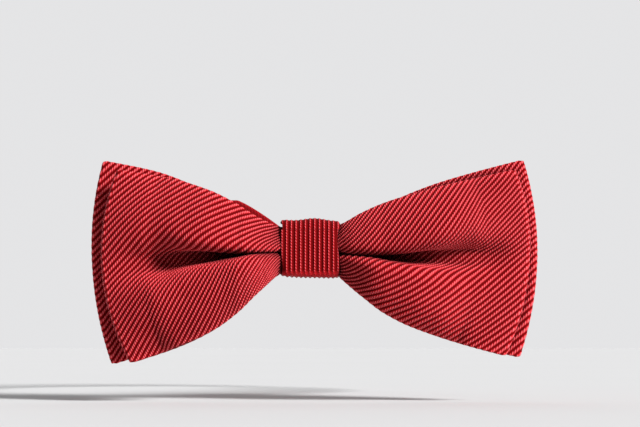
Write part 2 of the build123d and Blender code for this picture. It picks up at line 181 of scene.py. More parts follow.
CROWN = radians(30)  # how far a lobe's face swings, from its crease to its edge
CROWN_LEAN = 0.8  # under 1, the crown lies nearer the crease than the edge
EDGE_ROLL = radians(10)  # how much further the edge rolls back
EDGE_ROLL_START = 0.9  # from this share of the cloth's length
TUCK_FROM, TUCK_SHARE = 0.3, 0.55  # a lobe fuller than this tucks this share of the rest into its wall
SECTION_STEPS = 160
SEARCH_STEPS = 30

FLAT_LENGTH = 1.0006  # lengths of cloth, as shares of a lobe's height: with no crease,
CREASED_LENGTH = 1.1  # the most that a lobe holds beside its crease's depth,
END_LENGTH = 1.004  # and at the wing's outer end
LEAST_SPARE = 0.9995  # a lobe is never higher than this share of its cloth
LENGTH_TAPERS = (36, 57)  # from the fullest lobe to the outer end's, out from the knot's centre
BOTTOM, BOTTOM_GROWS, BOTTOM_SPAN = 1.5, 2.4, (14, 34)  # cloth in half of the crease's round bottom
TURN, TURN_GROWS, TURN_SPAN = 0.2, 0.22, (26, 44)  # share of the cloth that turns out of the wall

SHAPED_FROM = 14  # where the outer end's slant and curve begin
FOLD_STEPS = 8
RIM_STEPS = 6
INNER_THINNING = 3  # the inner face keeps one in this many columns
SWELLS, SWELL_TIGHT = 7, (0.16, 0.08, 0.26)  # how many waves, and how tight they are along x, z and depth
SWELL_SPAN = (8, 22)  # where the swells begin and are in full, out from the knot's centre
RIDGE_SPAN = (9, 15)  # the same for the ridges
RIB_SPAN = (7, 9)  # and for the ribs
PRESSED_END = (0.2, 2.2)  # cords are flattened this near to the fold at the outer end
PRESSED_EDGE = (0, 1.6)  # and to the folded edges
PRESSED_HEIGHT = 0.2  # to this share of their height


def lobe(length, height, wall, bottom, turn):
    """Half of a wing's section, from the crease to the edge: rise and forward depth at shares of length.

    The cloth comes out of the crease up a wall, turns over and runs across the lobe's face to the edge.
    How much of it stays in the wall is what makes the rise come out at the given height. bottom is the
    cloth in half of the crease's round bottom, and turn the share of the length in which it turns over.
    """
    share = np.linspace(0, 1, SECTION_STEPS + 1)
    middle = (share[1:] + share[:-1]) / 2
    opened = smooth(middle * length, 0, bottom)
    low, high = 0.0, 1.0
    for _ in range(SEARCH_STEPS):
        fill = (low + high) / 2
        tucked = TUCK_SHARE * max(0.0, fill - TUCK_FROM)
        face = smooth(middle, tucked, tucked + turn)
        slope = wall * opened * (1 - face) + CROWN * face * np.cos(pi * middle**CROWN_LEAN)
        slope -= EDGE_ROLL * smooth(middle, EDGE_ROLL_START, 1)
        slope *= min(1, fill / TUCK_FROM)
        if np.mean(np.cos(slope)) * length > height:
            low = fill
        else:
            high = fill
    rise = np.concatenate([[0], np.cumsum(np.cos(slope))]) * length / SECTION_STEPS
    depth = np.concatenate([[0], np.cumsum(np.sin(slope))]) * length / SECTION_STEPS
    return share, rise * height / rise[-1], depth


def cords(u, v, side):
    """Where a point of the cut cloth lies across its bias cords, and along them, in millimetres."""
    return (u - v + side * FAN * v * v) / 2**0.5, (u + v) / 2**0.5


def rib_wave(across, pitch=RIB_PITCH):
    """Height of the cords, from 0 in the troughs to 1 on the cords."""
    return 0.5 + 0.5 * np.cos(2 * pi * across / pitch)


class Ply:
    """One face of a wing's loop, as curves over x, the distance from the knot's centre.

    top, crease and low are heights, crest is the depth of the lobes' faces, floor is the least depth of
    the crease, and walls are the slopes, in degrees, out of the crease into the upper and lower lobe.
    A ply without a floor has no crease.
    """

    FLAT_WALL = 40.0

    def __init__(self, top, crease, low, crest, floor=None, walls=None, backward=False):
        self.top, self.crease, self.low = curve_through(top), curve_through(crease), curve_through(low)
        self.crest = curve_through(crest)
        self.floor = curve_through(floor) if floor else None
        self.walls = [curve_through(w) for w in walls] if walls else [lambda x: self.FLAT_WALL] * 2
        self.forward = -1 if backward else 1

    def row(self, x, t):
        """Height and depth of the cloth at x, from its lower edge (t = -1) to its upper one (t = 1)."""
        up, down = float(self.top(x) - self.crease(x)), float(self.crease(x) - self.low(x))
        bottom = BOTTOM + BOTTOM_GROWS * float(smooth(x, *BOTTOM_SPAN))
        turn = TURN + TURN_GROWS * float(smooth(x, *TURN_SPAN))
        halves = []
        for height, wall in ((up, self.walls[0]), (down, self.walls[1])):
            length = height * FLAT_LENGTH
            if self.floor:
                room = float(self.crest(x) - self.floor(x))
                full = softer_of(CLOTH_HALF, height * CREASED_LENGTH + room)
                length = full + (height * END_LENGTH - full) * float(smooth(x, *LENGTH_TAPERS))
            reached = min(height, length * LEAST_SPARE)
            halves.append(lobe(length, reached, radians(float(wall(x))), bottom, turn))
        above, below = halves
        size = np.abs(t)
        z = np.where(t > 0, np.interp(size, *above[:2]), -np.interp(size, *below[:2]))
        raised = np.where(t > 0, np.interp(size, above[0], above[2]), np.interp(size, below[0], below[2]))
        crease_depth = float(self.crest(x)) - self.forward * (above[2].max() + below[2].max()) / 2
        if self.floor:
            crease_depth = max(crease_depth, float(self.floor(x)))
        return z + float(self.crease(x)), crease_depth + self.forward * raised


def wing_rows(side, front, back, end, lean, convex, fold, fine_from):
    """The middle surface of one wing's loop: x, z and forward depth, for stations (rows) by t (columns).

    The stations run from the knot along the front ply, round the fold at the outer end, and back along
    the back ply. t runs from -1 at the lower edge to 1 at the upper one. end is how far out the wing
    reaches, lean and convex slant and curve its outer end, fold is the end fold's radius, and fine_from is
    where the front ply comes into sight.
    """
    t = np.linspace(-1, 1, 2 * round(CLOTH_HALF / FINE_STEP) + 1)

    def rows_of(ply, xs):
        rows = []
        for x in xs:
            z, depth = ply.row(x, t)
            shift = (lean * t - convex * t * t) * smooth(x, SHAPED_FROM, end)
            rows.append(np.stack([x + shift, z, depth], -1))
        return rows

    hidden = steps(0, fine_from, HIDDEN_STEP)
    first = rows_of(front, np.concatenate([hidden, steps(fine_from, end - fold, FINE_STEP)]))
    last = rows_of(back, np.concatenate([steps(end - fold, 0, COARSE_STEP), [0]]))
    start, stop = np.array(first[-1]), np.array(last[0])
    start[:, 0] = stop[:, 0]
    arc = []
    for angle in np.linspace(0, pi, FOLD_STEPS + 1)[:-1]:
        row = start + (stop - start) * (1 - cos(angle)) / 2
        row[:, 0] += fold * sin(angle)
        arc.append(row)
    rows = np.array(first + arc + last)
    rows[..., 0] *= side
    return rows, t


def loosen(points, seed):
    """Small uneven swells, about 1 at their highest, so that no two parts of the cloth are alike."""
    rng = np.random.default_rng(seed)
    moved = np.zeros(points.shape[:-1])
    for _ in range(SWELLS):
        wave = rng.normal(size=3) * np.array(SWELL_TIGHT)
        moved += np.sin(points @ wave + rng.uniform(0, 2 * pi)) / SWELLS**0.5
    return moved


def soft_ridge(points, start, end, height, width):
    """A soft ridge, or a hollow, in the cloth along a line seen from the front."""
    start, end = np.array(start, float), np.array(end, float)
    line = end - start
    flat = points[..., :2] - start
    share = flat @ line / (line @ line)
    off = np.linalg.norm(flat - np.clip(share, 0, 1)[..., None] * line, axis=-1)
    return height * np.exp(-((off / width) ** 2))


def build_wing(name, side, material, seed, swell, ridges=(), **shape):
    """One wing as a closed ply of cloth: outer face with its ribs, folded edges, and inner face."""
    rows, t = wing_rows(side, **shape)
    reach = np.abs(rows[..., 0])
    fold_row = int(np.argmax(reach[:, len(t) // 2]))
    rows[..., 2] += loosen(rows, seed) * swell * smooth(reach, *SWELL_SPAN)
    on_front = (np.arange(len(rows)) < fold_row)[:, None]
    for ridge in ridges:
        rows[..., 2] += soft_ridge(rows, *ridge) * on_front * smooth(reach, *RIDGE_SPAN)

    along = np.gradient(rows, axis=0)
    across = np.gradient(rows, axis=1)
    normal = np.cross(along, across)
    normal /= np.linalg.norm(normal, axis=-1, keepdims=True) + 1e-9
    if normal[fold_row // 2, len(t) // 4, 2] < 0:
        normal = -normal

    # how far each point of the cut cloth lies from the fold at the outer end, and from its middle
    gap = np.linalg.norm(np.diff(rows, axis=0), axis=-1)
    length = np.concatenate([np.zeros((1, len(t))), np.cumsum(gap, axis=0)])
    u = (length[fold_row] - length) * -side
    v = np.broadcast_to(t * CLOTH_HALF, u.shape)

    # the cords are flattened where the cloth is folded, at the outer end and along both edges
    free = np.minimum(smooth(np.abs(u), *PRESSED_END), smooth(CLOTH_HALF - np.abs(v), *PRESSED_EDGE))
    height = RIB_HEIGHT * smooth(reach, *RIB_SPAN) * (PRESSED_HEIGHT + (1 - PRESSED_HEIGHT) * free)
    ribs = (rib_wave(cords(u, v, side)[0]) - 0.5) * height
    outer = rows + normal * (PLY / 2 + ribs)[..., None]
    thin = slice(None, None, INNER_THINNING)
    inner = (rows - normal * PLY / 2)[:, thin][:, ::-1]

    def rim(column, sign):
        """The rounded, folded edge from the outer face to the inner one."""
        base, out = rows[:, column], across[:, column] * sign
        out = out / np.linalg.norm(out, axis=-1, keepdims=True)
        face = normal[:, column]
        parts, uvs = [], []
        for angle in np.linspace(0, pi, RIM_STEPS + 1)[1:-1]:
            beyond = v[:, column] + sign * PLY / 2 * angle
            place = np.stack(cords(u[:, column], beyond, side), -1)
            grow = PLY / 2 + (rib_wave(place[:, 0]) - 0.5) * height[:, column]
            parts.append(base + (face * cos(angle) + out * sin(angle)) * grow[:, None])
            uvs.append(place)
        return np.stack(parts, 1), np.stack(uvs, 1)

    top, top_uv = rim(-1, 1)
    low, low_uv = rim(0, -1)
    ring = np.concatenate([outer, top, inner, low[:, ::-1]], axis=1)
    flat = np.stack(cords(u, v, side), -1)
    uv = np.concatenate([flat, top_uv, flat[:, thin][:, ::-1], low_uv[:, ::-1]], axis=1)
    count, around = ring.shape[:2]
    x, z, depth = np.moveaxis(ring, -1, 0)
    points = np.stack([x + KNOT_CENTRE[0], -depth, z + KNOT_CENTRE[2]], -1).reshape(-1, 3)
    faces = tube_faces(count, around)
    if side > 0:
        faces = [f[::-1] for f in faces]
    piece = mesh_object(name, points, faces, uv.reshape(-1, 2), material)
    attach(piece, "bow")
    return piece


def front_wings(material):
    """The two wings of the front loop. A ridge is its start, end, height and width."""
    left = build_wing(
        "front_wing_left", -1, material, seed=3, swell=0.5,
        ridges=[((-17, -7), (-32, -26), 3.2, 8.5)],
        end=55.8, lean=1.9, convex=5.7, fold=0.7, fine_from=7.0,
        front=Ply(
            top=[(0, 4.9), (6, 5.0), (9, 5.5), (14, 7.6), (20, 11.2), (28, 14.8), (40, 18.2), (57, 20.9)],
            crease=[(0, -0.8), (9, -1.0), (20, -1.4), (32, -2.6), (44, -4.4), (57, -5.4)],
            low=[
                (0, -5.4), (6, -5.7), (9, -7.2), (14, -11.9), (20, -17.4), (28, -22.0),
                (42, -26.4), (57, -31.0),
            ],
            crest=[
                (0, 72.6), (7, 73.4), (12, 77.6), (18, 80.4), (26, 81.0),
                (36, 79.6), (47, 76.4), (57, 73.4),
            ],
            floor=[(0, 68.5), (12, 68.8), (30, 69.6), (45, 72.0), (57, 72.4)],
            walls=([(0, 92), (12, 98), (22, 98), (32, 92), (40, 62), (57, 34)],
                   [(0, 84), (12, 84), (22, 82), (32, 76), (42, 54), (57, 36)]),
        ),
        back=Ply(
            top=[(0, 4.6), (6, 4.7), (14, 7.2), (28, 14.6), (57, 20.9)],
            crease=[(0, -0.5), (57, -5.4)],
            low=[(0, -5.2), (6, -5.5), (14, -11.4), (28, -21.6), (57, -31.0)],
            crest=[(0, 67.3), (12, 67.6), (30, 68.4), (45, 70.0), (57, 71.8)],
        ),
    )
    right = build_wing(
        "front_wing_right", 1, material, seed=8, swell=0.6,
        ridges=[((36, 4), (40, 16), 3.0, 11.0), ((17, -12), (34, -19), 1.2, 5.0)],
        end=59.1, lean=1.4, convex=5.0, fold=0.7, fine_from=7.0,
        front=Ply(
            top=[(0, 5.0), (6, 5.2), (9, 6.2), (14, 8.9), (20, 11.4), (30, 14.2), (45, 17.6), (60, 21.0)],
            crease=[(0, -0.8), (9, -1.2), (20, -1.8), (32, -2.4), (44, -2.4), (60, -2.6)],
            low=[
                (0, -5.4), (6, -5.6), (9, -8.4), (14, -12.8), (20, -17.2), (28, -20.7),
                (44, -25.0), (60, -28.9),
            ],
            crest=[
                (0, 72.6), (7, 73.4), (12, 77.2), (18, 79.6), (26, 80.4),
                (36, 78.8), (48, 75.0), (59, 71.6),
            ],
            floor=[(0, 68.5), (12, 68.6), (30, 68.8), (45, 69.4), (59, 70.2)],
            walls=([(0, 92), (12, 98), (22, 98), (32, 92), (42, 74), (59, 50)],
                   [(0, 84), (12, 84), (22, 82), (32, 76), (42, 60), (59, 40)]),
        ),
        back=Ply(
            top=[(0, 4.6), (6, 4.8), (14, 8.6), (28, 14.2), (46, 18.5), (60, 21.0)],
            crease=[(0, -0.5), (60, -2.6)],
            low=[(0, -5.2), (6, -5.4), (14, -12.2), (28, -20.2), (60, -28.9)],
            crest=[(0, 67.3), (12, 67.4), (30, 67.6), (45, 68.2), (59, 69.6)],
        ),
    )
    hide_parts("front_bow", "front_bow_interlining")


def back_wings(material):
    """The two wings of the back loop, whose rims show past the front ones."""
    left = build_wing(
        "back_wing_left", -1, material, seed=5, swell=0.3,
        end=59.5, lean=1.35, convex=4.2, fold=0.6, fine_from=36.0,
        front=Ply(
            top=[(0, 5.0), (6, 5.1), (12, 6.2), (20, 11.0), (28, 15.0), (36, 18.2), (44, 20.8), (60, 24.0)],
            crease=[(0, 0), (60, -3.0)],
            low=[(0, -5.1), (6, -5.2), (12, -9.0), (20, -15.2), (32, -22.0), (44, -26.4), (60, -31.2)],
            crest=[(0, 65.9), (30, 66.0), (59, 65.2)],
        ),
        back=Ply(
            top=[(0, 4.9), (6, 5.0), (12, 6.1), (20, 10.8), (28, 14.8), (36, 18.0), (44, 20.6), (60, 23.8)],
            crease=[(0, 0), (60, -3.0)],
            low=[(0, -5.0), (6, -5.1), (12, -8.9), (20, -15.0), (32, -21.8), (44, -26.2), (60, -31.0)],
            crest=[(0, 63.7), (14, 63.7), (30, 62.9), (46, 62.9), (59, 63.6)],
            backward=True,
        ),
    )
    right = build_wing(
        "back_wing_right", 1, material, seed=12, swell=0.3,
        end=61.8, lean=0.7, convex=4.1, fold=0.6, fine_from=22.0,
        front=Ply(
            top=[(0, 5.0), (6, 5.1), (12, 7.8), (20, 11.4), (28, 14.8), (36, 17.5), (44, 19.7), (62, 24.2)],
            crease=[(0, 0), (62, -2.0)],
            low=[(0, -5.1), (6, -5.2), (12, -9.2), (20, -15.2), (32, -21.2), (44, -24.9), (62, -29.2)],
            crest=[(0, 65.9), (30, 66.0), (62, 65.6)],
        ),
        back=Ply(
            top=[(0, 4.9), (6, 5.0), (12, 7.7), (20, 11.2), (28, 14.6), (36, 17.3), (44, 19.5), (62, 24.0)],
            crease=[(0, 0), (62, -2.0)],
            low=[(0, -5.0), (6, -5.1), (12, -9.1), (20, -15.0), (32, -21.0), (44, -24.7), (62, -29.0)],
            crest=[(0, 63.7), (14, 63.7), (30, 62.9), (46, 62.9), (62, 63.8)],
            backward=True,
        ),
    )
    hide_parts("back_bow", "back_bow_interlining")


# --- Knot --------------------------------------------------------------------------------------------

KNOT_CORNER, KNOT_BULGE = 2.6, 0.5  # of the path that the wrap follows
KNOT_STEP, KNOT_FINE_STEP = 0.3, 0.2  # along the path and across the wrap
WRAP_DEPTH, HEM = 1.1, 1.1  # from the wrap's outer face to its inner one, and its folded sides' radius
HEM_SQUEEZE = 0.55  # the folded sides are flatter than round
HEM_STEPS = 8
WAVER, WAVER_RATE = 0.012, 0.55  # the sides waver along the path
SWAY, SWAY_RATE, SWAY_FROM = 0.3, 0.42, 3  # and the ribs beside them sway
KNOT_CROWN = 0.35  # how much fuller the wrap is in its middle
KNOT_RIB_SHARPNESS = 1.5
RIBS_RISE, RIBS_PRESSED, PRESSED_BY = (0.02, 0.2), (0.93, 1), 0.6  # at these shares of the knot's height
LEAST_RIBS = 0.25
DENT, DENT_AT, DENT_WIDTH = 0.35, 1.0, 2.6
HANG = 0.35
UNEVEN, UNEVEN_RATE, UNEVEN_FROM = 0.22, 0.62, 0.7
KNOT_LINING_INSET, KNOT_LINING_STEP, KNOT_LINING_THICKNESS = 1.3, 0.4, 0.3
KNOT_LINING_MARGIN = 1.6  # on each side of the lining


def rounded_box_path(low, high, corner, step, crown=0.0):
    """Points and outward normals round a rounded rectangle in depth (first) and height (second).

    crown is how far its front bulges.
    """
    (d0, z0), (d1, z1) = low, high
    centres = [
        (d1 - corner, z1 - corner, 0), (d0 + corner, z1 - corner, 90),
        (d0 + corner, z0 + corner, 180), (d1 - corner, z0 + corner, 270),
    ]
    points, normals = [], []
    for k, (cd, cz, start) in enumerate(centres):
        for angle in np.radians(start + steps(0, 90, degrees(step / corner))):
            points.append((cd + corner * cos(angle), cz + corner * sin(angle)))
            normals.append((cos(angle), sin(angle)))
        nd, nz, _ = centres[(k + 1) % 4]
        angle = radians(start + 90)
        here = np.array([cd + corner * cos(angle), cz + corner * sin(angle)])
        there = np.array([nd + corner * cos(angle), nz + corner * sin(angle)])
        for share in steps(0, 1, step / np.linalg.norm(there - here)):
            points.append(here * (1 - share) + there * share)
            normals.append((cos(angle), sin(angle)))
    points, normals = np.array(points, float), np.array(normals, float)
    height = (points[:, 1] - z0) / (z1 - z0)
    points[:, 0] += crown * np.sin(pi * height) * np.clip(normals[:, 0], 0, 1)
    return points, normals


def build_knot(material):
    """The wrap: a band of cloth with folded sides, its ribs upright, wound round both loops and the band."""
    low, high = (-KNOT_HIGH[1], KNOT_LOW[2]), (-KNOT_LOW[1], KNOT_HIGH[2])
    path, outward = rounded_box_path(low, high, KNOT_CORNER, KNOT_STEP, crown=KNOT_BULGE)
    width = KNOT_HALF_WIDTH
    flat = width - HEM
    half = np.concatenate([steps(-flat, flat, KNOT_FINE_STEP), [flat]])
    turn = np.linspace(0, pi, HEM_STEPS + 1)[1:-1]
    hems = [(HEM * sin(a), -HEM * HEM_SQUEEZE * (1 - cos(a)), 1 - a / pi) for a in turn]
    # across the wrap, out of it, and how much of the outer face's shape each point takes
    profile = [(x, 0.0, 1.0) for x in half]
    profile += [(flat + x, out, share) for x, out, share in hems]
    profile += [(x, -WRAP_DEPTH, 0.0) for x in half[::-4]]
    profile += [(-flat - x, out, share) for x, out, share in hems[::-1]]
    profile = np.array(profile)

    gap = np.linalg.norm(np.diff(np.vstack([path, path[:1]]), axis=0), axis=1)
    along = np.concatenate([[0], np.cumsum(gap)[:-1]])
    z_share = (path[:, 1] - low[1]) / (high[1] - low[1])
    front = np.clip(outward[:, 0], 0, 1)

    flat_x, outer = profile[None, :, 0], profile[None, :, 2]
    x = flat_x * (1 + WAVER * np.sin(along[:, None] * WAVER_RATE + np.sign(flat_x)))
    x = x + SWAY * np.sin(along[:, None] * SWAY_RATE + 1.3) * smooth(np.abs(flat_x), SWAY_FROM, width)
    crown = (1 - (flat_x / width) ** 2) * KNOT_CROWN
    # the ribs run out in the pulled bend below, and are pressed in the bend above
    fade = (smooth(z_share, *RIBS_RISE) * (1 - PRESSED_BY * smooth(z_share, *RIBS_PRESSED)))[:, None]
    ribs = (rib_wave(x, KNOT_PITCH) ** KNOT_RIB_SHARPNESS - 1) * KNOT_RIB_HEIGHT
    ribs = ribs * outer * (LEAST_RIBS + (1 - LEAST_RIBS) * np.where(front[:, None] > 0.1, fade, 1))
    # a shallow dent low on the front, a little to the right
    dent = -DENT * smooth(front, 0.4, 1)[:, None] * np.exp(-(((x - DENT_AT) / DENT_WIDTH) ** 2))
    dent = dent * (1 - z_share[:, None])
    out = profile[None, :, 1] + (crown + dent) * (outer > 0) + ribs
    depth = path[:, None, 0] + outward[:, None, 0] * out
    z = path[:, None, 1] + outward[:, None, 1] * out
    # the lower right corner hangs a little, and the upper edge is uneven
    hang = -HANG * smooth(x, 0, width) * (1 - z_share[:, None])
    hang = hang + UNEVEN * np.sin(x * UNEVEN_RATE + 0.8) * smooth(z_share, UNEVEN_FROM, 1)[:, None]
    points = np.stack([x + KNOT_CENTRE[0], -depth, z + hang], -1)
    uv = np.stack([x, np.broadcast_to(along[:, None], x.shape)], -1)
    count, around = points.shape[:2]
    faces = tube_faces(count, around, closed_path=True)
    piece = mesh_object("knot", points.reshape(-1, 3), faces, uv.reshape(-1, 2), material)
    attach(piece, "bow")
    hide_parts("knot_wrap")


def build_knot_lining(material):
    """The interlining sleeve inside the wrap."""
    inset, thickness = KNOT_LINING_INSET, KNOT_LINING_THICKNESS
    low = (-KNOT_HIGH[1] + inset, KNOT_LOW[2] + inset)
    high = (-KNOT_LOW[1] - inset, KNOT_HIGH[2] - inset)
    path, outward = rounded_box_path(low, high, inset, KNOT_LINING_STEP)
    width = KNOT_HALF_WIDTH - KNOT_LINING_MARGIN
    profile = np.array([(-width, 0), (width, 0), (width, -thickness), (-width, -thickness)])
    x = np.broadcast_to(profile[None, :, 0], (len(path), len(profile)))
    depth = path[:, None, 0] + outward[:, None, 0] * profile[None, :, 1]
    z = path[:, None, 1] + outward[:, None, 1] * profile[None, :, 1]
    points = np.stack([x + KNOT_CENTRE[0], -depth, z], -1)
    uv = np.stack([x, z], -1)
    points, uv = points.reshape(-1, 3), uv.reshape(-1, 2)
    faces = tube_faces(len(path), len(profile), closed_path=True)
    piece = mesh_object("knot_lining", points, faces, uv, material)
    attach(piece, "bow")
    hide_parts("knot_interlining")


# --- Neck band ---------------------------------------------------------------------------------------

RISE_END_LEFT, RISE_END_RIGHT = 20.4, 26.0  # where the band reaches its own level, out from the knot's centre
RISE_POWER = 1.2  # over 1, the band rises more steeply at first
TAPE_ROWS = 150  # along each length of tape
ACROSS, EDGE_STEPS = 13, 6  # points across the tape, and steps round its edges
SPLIT = 88.0  # where the front and rear pieces of tape are joined
FOLD_RADIUS, FOLD_ROWS, FOLD_START = 1.3, 22, radians(-12)  # the tape round the eye's or the hook's bar
FOLD_ENDS = {-1: radians(190), 1: radians(170)}
FOLD_GAP = 2.4  # from a bar back to where the tape leaves the ring's curve
RETURN_LIFT, RETURN_SPAN, RETURN_ROWS = 1.02, 7.0, 26  # the eye's fold comes back outside the tape
SLIDER_WIRE = 0.6  # the radius of the slider's middle bar
CLEARANCE = 0.05
TAIL_LIFT = 0.1  # of the band's second ply over the first
TAIL_THICKNESS = TAPE * 0.96
TAIL_GAP = 1.9  # from the hook's bar back to the tail's end
TAIL_ROWS, TAIL_FOLD_ROWS = 60, 18
TAIL_RETURN = (  # how far out, from and to how many degrees past the slider's bar, and in how many rows
    (1.6, 1.2, 2.0, 3),
    (TAPE + 0.02, 3.6, 7.2, 14),
)
NEAR = 0.02


def ring_point(angle, radius, side):
    """A point round the neck, in plan: angle degrees from the front, to the right (1) or left (-1)."""
    return np.array([side * radius * sin(radians(angle)), -radius * cos(radians(angle))])


def band_level(x):
    """Height of the band's middle: it rises from the knot's level, steeply at first, to its own level."""
    rise_end = np.where(x < 0, RISE_END_LEFT, RISE_END_RIGHT)
    share = np.clip((np.abs(x) - KNOT_HALF_WIDTH) / (rise_end - KNOT_HALF_WIDTH), 0, 1)
    return KNOT_CENTRE[2] * (1 - share) ** RISE_POWER


def tape_along(name, plan, level, material, start_u=0.0, thickness=TAPE):
    """A length of tape with rounded edges along a path in plan, at a level for each point."""
    plan = np.asarray(plan, float)
    along = np.gradient(plan, axis=0)
    along /= np.linalg.norm(along, axis=1, keepdims=True)
    normal = np.stack([along[:, 1], -along[:, 0]], -1)
    edge = thickness / 2
    flat = TAPE_HALF - edge
    turn = np.linspace(0, pi, EDGE_STEPS + 1)[1:-1]
    ring = [(z, edge) for z in np.linspace(-flat, flat, ACROSS)]
    ring += [(flat + edge * sin(a), edge * cos(a)) for a in turn]
    ring = np.array(ring)
    ring = np.concatenate([ring, -ring])
    points = np.empty((len(plan), len(ring), 3))
    points[..., :2] = plan[:, None] + normal[:, None] * ring[None, :, 1:]
    points[..., 2] = np.asarray(level)[:, None] + ring[None, :, 0]
    u = start_u + np.concatenate([[0], np.cumsum(np.linalg.norm(np.diff(plan, axis=0), axis=1))])
    uv = np.stack(np.broadcast_arrays(u[:, None], ring[None, :, 0] + ring[None, :, 1] * 0.5), -1)
    faces = tube_faces(len(plan), len(ring))
    return mesh_object(name, points.reshape(-1, 3), faces, uv.reshape(-1, 2), material)


def place(angle, side):
    """A point on the ring in the row frame, in metres."""
    x, y = ring_point(angle, TAPE_MIDDLE, side)
    return (x * MM, y * MM, 0)


def joint_plan(name):
    """A joint's axis in plan, in millimetres."""
    joint = next(j for j in frame["record"]["behaviour"]["joints"] if j["name"] == name)
    return np.array(joint["pos_m"][:2]) / MM


def angle_of(plan):
    """Degrees round the ring, from the front, of a point in plan."""
    return degrees(np.arctan2(abs(plan[0]), -plan[1]))


def fold_round(pin, radius, start, end, side):
    """Plan points round a bar, from the inner side of the ring to its outer side."""
    outward = pin / np.linalg.norm(pin)
    ahead = np.array([-outward[1], outward[0]]) * side
    angles = np.linspace(start, end, FOLD_ROWS)
    return [pin + radius * (-outward * cos(a) + ahead * sin(a)) for a in angles]


def build_band(material):
    """The tape, in lengths that each lie across one flex axis."""
    for side, word in ((-1, "left"), (1, "right")):
        plan = [ring_point(a, TAPE_MIDDLE, side) for a in np.linspace(0, SPLIT, TAPE_ROWS)]
        level = band_level(np.array(plan)[:, 0])
        tape = tape_along(f"band_front_{word}", plan, level, material)
        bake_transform(tape)
        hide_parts(f"band_{word}_side")
        if side < 0:
            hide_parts("band_front")

        pin = joint_plan("eye_swing" if side < 0 else "hook_swing")
        last = angle_of(pin) - degrees(FOLD_GAP / TAPE_MIDDLE)
        plan = [ring_point(a, TAPE_MIDDLE, side) for a in np.linspace(SPLIT, last, TAPE_ROWS)]
        plan += fold_round(pin, FOLD_RADIUS, FOLD_START, FOLD_ENDS[side], side)
        if side < 0:
            back = np.linspace(last, last - RETURN_SPAN, RETURN_ROWS)
            plan += [ring_point(a, TAPE_MIDDLE + RETURN_LIFT, side) for a in back]
        start_u = radians(SPLIT) * TAPE_MIDDLE
        tape = tape_along(f"band_rear_{word}", plan, np.zeros(len(plan)), material, start_u)
        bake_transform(tape)
        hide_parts(f"band_{word}_rear")


def node_points(name):
    """The corners of a CAD node's mesh, in millimetres."""
    return np.array([v.co for v in frame["nodes"][name].data.vertices]) / MM


def build_tail(material):
    """The band's second ply, from the hook back to the slider's middle bar."""
    radius = TAPE_OUTER + TAIL_LIFT + TAPE / 2
    bar = middle_bar()
    bar_angle = angle_of(bar)
    start = angle_of(joint_plan("hook_swing")) - degrees(TAIL_GAP / radius)
    plan = [ring_point(a, radius, 1) for a in np.linspace(start, bar_angle + 1.5, TAIL_ROWS)]
    outward = bar / np.linalg.norm(bar)
    back = np.array([outward[1], -outward[0]])
    turn = SLIDER_WIRE + CLEARANCE + TAPE / 2
    plan += [bar + turn * (-outward * cos(a) + back * sin(a)) for a in np.linspace(0, pi, TAIL_FOLD_ROWS)]
    # from the bar it comes down on to the outside of its own first part
    for lift, first, last, count in TAIL_RETURN:
        angles = np.linspace(bar_angle + first, bar_angle + last, count)
        plan += [ring_point(a, radius + lift, 1) for a in angles]
    tape = tape_along("band_tail", plan[::-1], np.zeros(len(plan)), material, thickness=TAIL_THICKNESS)
    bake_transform(tape)
    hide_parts("adjuster_tail")


def middle_bar():
    """The slider's middle bar in plan: its furthest point from the neck's axis, less its radius."""
    points = node_points("slide_adjuster")
    reach = np.hypot(points[:, 0], points[:, 1])
    far = points[reach > reach.max() - NEAR][:, :2].mean(axis=0)
    return far * (1 - SLIDER_WIRE / np.linalg.norm(far))


STITCH_ROWS, STITCH_AROUND = 13, 10
STITCH_RADIUS, STITCH_TIP, STITCH_SINK = 0.19, 0.01, 0.12
STITCH_GAP = 0.6  # the least gap between one stitch and the next
STITCH_BLUNTNESS = 6
SAME_PLACE = 1e-6


def build_stitches(material):
    """Short rounded stitches, their ends sunk in the cloth, where the CAD's stitches are."""
    for node, body, axis, inward in (
        ("knot_stitches", "bow", 0, 1), ("eye_loop_stitches", "left_rear", 2, -1),
        ("tail_stitches", "slider", 2, -1),
    ):
        points = node_points(node)
        key = points[:, axis]
        order = np.sort(key)
        groups = np.split(order, np.where(np.diff(order) > STITCH_GAP)[0] + 1)
        verts, faces, uvs = [], [], []
        for group in groups:
            chosen = points[(key >= group[0] - SAME_PLACE) & (key <= group[-1] + SAME_PLACE)]
            lo, hi = chosen.min(axis=0), chosen.max(axis=0)
            middle, half_height = (lo + hi) / 2, (hi[2] - lo[2]) / 2
            outward = middle[:2] / np.linalg.norm(middle[:2])
            sideways = np.array([-outward[1], outward[0]])
            first = len(verts)
            for s in np.linspace(-1, 1, STITCH_ROWS):
                radius = STITCH_RADIUS * (1 - abs(s) ** STITCH_BLUNTNESS) ** 0.5 + STITCH_TIP
                sunk = inward * STITCH_SINK * s * s
                for k in range(STITCH_AROUND):
                    a = 2 * pi * k / STITCH_AROUND
                    plan = middle[:2] + outward * (cos(a) * radius + sunk) + sideways * sin(a) * radius
                    verts.append((*plan, middle[2] + s * half_height))
                    uvs.append((s * half_height, a * 0.2))
            faces += [[first + q for q in f] for f in tube_faces(STITCH_ROWS, STITCH_AROUND)]
        piece = mesh_object(node + "_thread", verts, faces, uvs, material)
        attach(piece, body)
        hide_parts(node)


# --- Materials ---------------------------------------------------------------------------------------


